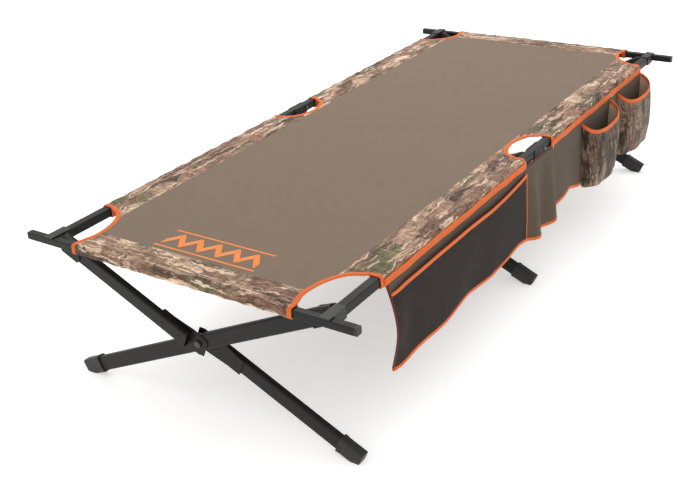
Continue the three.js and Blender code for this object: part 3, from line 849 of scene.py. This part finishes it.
# ---- Organiser panels -----------------------------------------------------------------------
# Two hanging leaves of the same taupe canvas, darkened to half as painted shade on their
# upright faces and hemmed with orange tape; the near end's tape is darkened to a dark
# red-brown as painted shade. The near leaf is deep and falls in folds by the hinge gap;
# the far leaf backs the two pockets.
def settle(points, at):
    return float(np.interp(at, [a for a, _ in points], [b for _, b in points]))


NEAR_TOP = [(-0.800, 0.4015), (-0.064, 0.4020), (0.030, 0.3995), (0.128, 0.4020)]
NEAR_FOOT = [(-0.800, 0.178), (-0.785, 0.168), (-0.600, 0.170), (-0.420, 0.182),
             (-0.300, 0.175), (-0.120, 0.184), (-0.040, 0.172), (0.060, 0.170), (0.128, 0.180)]
FAR_FOOT = [(0.134, 0.200), (0.250, 0.214), (0.330, 0.190), (0.860, 0.186), (0.872, 0.196)]


def near_leaf(y, s):
    top, foot = settle(NEAR_TOP, y), settle(NEAR_FOOT, y)
    flare = 0.020 * max(0.0, min(1.0, (-0.700 - y) / 0.09)) ** 2 * math.sin(math.pi * min(1, s * 1.05))
    free = max(0.0, min(1.0, (y + 0.085) / 0.05))
    folds = 0.0150 * (s ** 0.8) * free * math.sin(2 * math.pi * (y + 0.045) / 0.115)
    calm = 0.0035 * s * math.sin(2 * math.pi * y / 0.29 + 0.6) * (1 - free)
    crumple = 0.004 * s * noise.noise(Vector((1, y * 11, s * 2.4)))
    return (LEAF_X + max(-0.0005, flare + folds + calm + crumple + 0.0095 * free * s + 0.003 * s),
            y, top + (foot - top) * s)


def far_leaf(y, s):
    foot = settle(FAR_FOOT, y)
    wave = 0.0030 * s * (1 + math.sin(2 * math.pi * y / 0.16)) * max(0, min(1, (0.330 - y) / 0.08))
    return (LEAF_X + wave, y, HANG_Z + (foot - HANG_Z) * s)


def leaf(name, shape, start, end, node):
    ys, ss = spaced(start, end, 0.009), spaced(0, 1, 0.04)
    grid = [[shape(y, s) for s in ss] for y in ys]
    flat = [[(shape(y, s)[2], y) for s in ss] for y in ys]
    piece = cloth_piece(name, grid, flat, [SHADED_LEAF_TAUPE])
    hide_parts(node)
    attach(piece, "organiser")
    return piece


# painted shade: the bed's taupe canvas at half brightness, for the leaves' upright faces
SHADED_LEAF_TAUPE = taupe_canvas("taupe_canvas_leaf_painted_shade", 0.50)
near_panel = leaf("organiser_leaf_near", near_leaf, -0.795, 0.128, "organiser_panel_near")
far_panel = leaf("organiser_leaf_far", far_leaf, 0.134, 0.872, "organiser_panel_far")


def hem(shape, s_line, lean, width=0.010):
    line = [shape(y, s) for y, s in s_line]
    return (line, [lean] * len(line), width, False)


near_hems = [hem(near_leaf, [(y, 0.985) for y in spaced(-0.795, 0.126, 0.008)], (0, 0, 1))]
near_end_hems = [hem(near_leaf, [(-0.792, s) for s in spaced(0.0, 0.99, 0.03)], (0, 1, 0))]
far_hems = [hem(far_leaf, [(y, 0.985) for y in spaced(0.136, 0.870, 0.010)], (0, 0, 1)),
            hem(far_leaf, [(0.869, s) for s in spaced(0.0, 0.99, 0.04)], (0, 1, 0))]
near_hem = tape_piece("near_leaf_hem", near_hems, 0.0032)
# painted shade: the near end's hem uses the darkened tape, for the edge turned from the light
near_end_hem = tape_piece("near_leaf_end_hem", near_end_hems, 0.0032, SHADED_ORANGE_TAPE)
far_hem = tape_piece("far_leaf_hem", far_hems, 0.0032)
for piece in (near_hem, near_end_hem, far_hem):
    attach(piece, "organiser")


# ---- Net pocket -------------------------------------------------------------------------------
# A long pocket of dark knitted net on the near leaf, sewn along its foot and both ends.
# Its bound top edge is a little slack and stands away from the canvas.
def knitted_net():
    net = Finish("dark_knitted_net", {"Specular IOR Level": 0.3})
    flat = net.add("ShaderNodeUVMap", {"uv_map": "cloth"})
    meshwork = None
    for turn_by in (0.0, math.pi / 3, 2 * math.pi / 3):
        band = net.add("ShaderNodeTexWave", {"wave_type": "BANDS", "bands_direction": "X"}, {
            "Vector": net.stretched(flat, (1, 1, 1), turn_by), "Scale": 95, "Distortion": 0.0}, "Fac")
        meshwork = band if meshwork is None else meshwork + band
    hole = net.mask(meshwork, 2.02, 2.30)
    cloud = net.speckle(flat, 14, 3)
    strand = net.speckle(flat, 700, 2)
    net.relief(meshwork * -0.3 + strand * 0.3, 0.5, 0.0006)
    dark = net.mixed(cloud * 0.6 + strand * 0.4, (0.0125, 0.0085, 0.0064), (0.026, 0.0180, 0.0138))
    return net.surface(Base_Color=dark, Roughness=0.75 + strand * 0.15, Alpha=1 - hole * 0.85)


NET_TOP = [(-0.791, 0.381), (-0.600, 0.384), (-0.430, 0.385), (-0.300, 0.379), (-0.200, 0.381),
           (-0.110, 0.386), (-0.062, 0.389)]


def net_leaf(y, s):
    top = settle(NET_TOP, y)
    foot = settle(NEAR_FOOT, y) + 0.003
    ends = math.sin(math.pi * max(0.0, min(1.0, (y + 0.795) / 0.735))) ** 0.55
    z = top + (foot - top) * s
    wall_s = (settle(NEAR_TOP, y) - z) / (settle(NEAR_TOP, y) - settle(NEAR_FOOT, y))
    wall, _, _ = near_leaf(y, max(0, min(1, wall_s)))
    end_on = min(1.0, (y + 0.795) / 0.030)
    stand = 0.003 * end_on + 0.009 * ends * (1 - s) ** 1.2 + 0.006 * ends * math.sin(math.pi * s)
    crumple = 0.0022 * ends * noise.noise(Vector((3, y * 8, s * 2)))
    return (wall + 0.0004 + 0.0018 * end_on + stand + crumple, y, z)


ys, ss = spaced(-0.790, -0.064, 0.009), spaced(0, 1, 0.05)
net_pocket = cloth_piece("net_pocket", [[net_leaf(y, s) for s in ss] for y in ys],
                         [[(net_leaf(y, s)[2], y) for s in ss] for y in ys], [knitted_net()], thickness=0.0008)
net_hem = tape_piece("net_pocket_binding", [
    hem(net_leaf, [(y, 0.02) for y in spaced(-0.791, -0.063, 0.008)], (0, 0, 1), 0.0105),
    hem(net_leaf, [(y, 0.985) for y in spaced(-0.791, -0.063, 0.008)], (0, 0, 1), 0.0095),
    hem(net_leaf, [(-0.065, s) for s in spaced(0.0, 1.0, 0.04)], (0, 1, 0), 0.0040)], 0.0026)
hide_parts("organiser_net_pocket")
for piece in (net_pocket, net_hem):
    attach(piece, "organiser")


# ---- Bottle pockets -----------------------------------------------------------------------------
# Two roomy pockets of the printed cloth, darkened as painted shade, lined in taupe that is
# brightened as painted light, sewn to the far leaf down both sides. The front is cut lower
# than the back, taped, and the base sags under its own cloth.
BACK_X, POCKET_LIMIT_X = 0.4452, 0.5068
POCKET_DEPTH, POCKET_SQUARE = 0.0585, 0.62
POCKET_COLS = 40


def pocket(name, start, end, seed):
    middle, half = (start + end) / 2, (end - start) / 2
    grid, flat, widest = [], [], 0.0
    for t in spaced(0, 1, 0.045) + [1.06, 1.13, 1.20, 1.27]:
        row, marks, run = [], [], 0.0
        base = max(0.0, min(1.0, (t - 1) / 0.27))
        body = min(t, 1.0)
        for k in range(POCKET_COLS + 1):
            a = math.pi * (k / POCKET_COLS - 0.5)
            ca = abs(math.cos(a)) ** POCKET_SQUARE
            sa = math.copysign(abs(math.sin(a)) ** 0.85, a)
            bulge = 0.90 + 0.15 * math.sin(math.pi * body ** 0.8)
            depth = POCKET_DEPTH * bulge * (1 - 0.14 * body ** 3) * (1 - base ** 1.4)
            waist = 1 - 0.05 * math.sin(math.pi * body * 0.9) - 0.05 * body ** 3
            width = half * waist * (1 - 0.10 * base)
            crumple = noise.noise(Vector((seed, k * 0.16, t * 3.2)))
            fold = 0.0045 * ca * math.sin(math.pi * min(1, body * 1.1)) * crumple
            fold += 0.0030 * ca * body * math.sin(k * 0.55 + seed) * (1 - base)
            x = BACK_X + depth * ca + fold
            y = middle + width * sa
            mouth = 0.3990 - 0.034 * ca
            foot = (0.190 - 0.010 * ca * (1 - base) - 0.012 * math.sin(base * math.pi / 2)
                    + 0.004 * noise.noise(Vector((seed, k * 0.1, 7))))
            z = mouth + (foot - mouth) * body
            row.append((min(x, POCKET_LIMIT_X), y, z))
            if k:
                run += math.dist(row[-1], row[-2])
            marks.append(run)
        grid.append(row)
        widest = max(widest, run)
        flat.append([(m + seed * 0.37, z) for m, (_, _, z) in zip(marks, row)])
    piece = cloth_piece(name, grid, flat, [LINING_PAINTED_LIGHT, POCKET_PRINT_PAINTED_SHADE], lining=1, thickness=0.0018)
    rim = np.array(grid[0])
    below = np.array(grid[1]) - rim
    front = ([tuple(p + d * 0.35) for p, d in zip(rim, below)], [tuple(d) for d in below], 0.0115, False)
    binding = tape_piece(name + "_binding", [front], 0.0032)
    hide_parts(name.replace("_body", ""))
    for part in (piece, binding):
        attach(part, "organiser")


# painted shade: the border print at about a third of its brightness, for the pockets' upright faces
POCKET_PRINT_PAINTED_SHADE = bark_print("bark_and_leaf_print_pocket_painted_shade", 0.37)
# painted light: the lining taupe at 2.8 times the bed's brightness, lifting the shade inside the pockets
LINING_PAINTED_LIGHT = taupe_canvas("taupe_lining_painted_light", 2.8)
pocket("bottle_pocket_near_body", 0.335, 0.575, 2)
pocket("bottle_pocket_far_body", 0.640, 0.870, 5)


# ---- Floor, light and camera -----------------------------------------------------------------------
# A plain pale floor, soft light from all round with one large lamp above, and a camera
# standing at the near right-hand corner, looking down along the cot.
FLOOR_HALF, FLOOR_Z = 9, -0.0005
floor_mesh = bpy.data.meshes.new("floor")
floor_mesh.from_pydata([(x * FLOOR_HALF, y * FLOOR_HALF, FLOOR_Z)
                        for x, y in ((-1, -1), (1, -1), (1, 1), (-1, 1))], [], [(0, 1, 2, 3)])
floor = put_in_scene("floor", floor_mesh)
pale = Finish("pale_floor", {"Specular IOR Level": 0.2, "Emission Color": (1.0, 1.0, 1.0),
                             "Emission Strength": 0.38})
mottle = pale.speckle(pale.placed(), 3, 4)
pale_tone = pale.mixed(mottle, (0.86, 0.86, 0.855), (0.90, 0.90, 0.895))
floor_mesh.materials.append(pale.surface(Base_Color=pale_tone, Roughness=0.85 + mottle * 0.05))

world = bpy.data.worlds.new("soft_white_room")
world.use_nodes = True
world.node_tree.nodes["Background"].inputs[0].default_value = (1.0, 1.0, 0.995, 1)
world.node_tree.nodes["Background"].inputs[1].default_value = 1.0
bpy.context.scene.world = world


def lamp(name, place, aim, size, power):
    light = bpy.data.lights.new(name, "AREA")
    light.shape = "RECTANGLE"
    light.size, light.size_y, light.energy = size[0], size[1], power
    stand = put_in_scene(name, light)
    stand.location = place
    stand.rotation_euler = (Vector(aim) - Vector(place)).to_track_quat("-Z", "Y").to_euler()


lamp("overhead_softbox", (-1.2, 1.8, 3.6), (0, 0.4, 0.3), (3.4, 3.4), 75)
lamp("front_softbox", (2.6, -3.2, 2.2), (0, 0, 0.2), (2.4, 1.6), 10)

bpy.context.scene.view_settings.view_transform = "Standard"
bpy.context.scene.view_settings.look = "None"

eye = Vector((1.585, -2.491, 1.566))
target = Vector((0.016, -0.151, 0.250))
roll = math.radians(-3.59)
ahead = (target - eye).normalized()
right = ahead.cross(Vector((0, 0, 1))).normalized()
upward = right.cross(ahead)
right, upward = (math.cos(roll) * right + math.sin(roll) * upward,
                 -math.sin(roll) * right + math.cos(roll) * upward)
camera_data = bpy.data.cameras.new("camera")
camera_data.sensor_width = 36
camera_data.lens = 53.167
camera_data.shift_x = -0.04714
camera_data.shift_y = -0.06414
camera = put_in_scene("camera", camera_data)
turned = Matrix((right, upward, -ahead)).transposed().to_4x4()
turned.translation = eye
camera.matrix_world = turned
bpy.context.scene.camera = camera
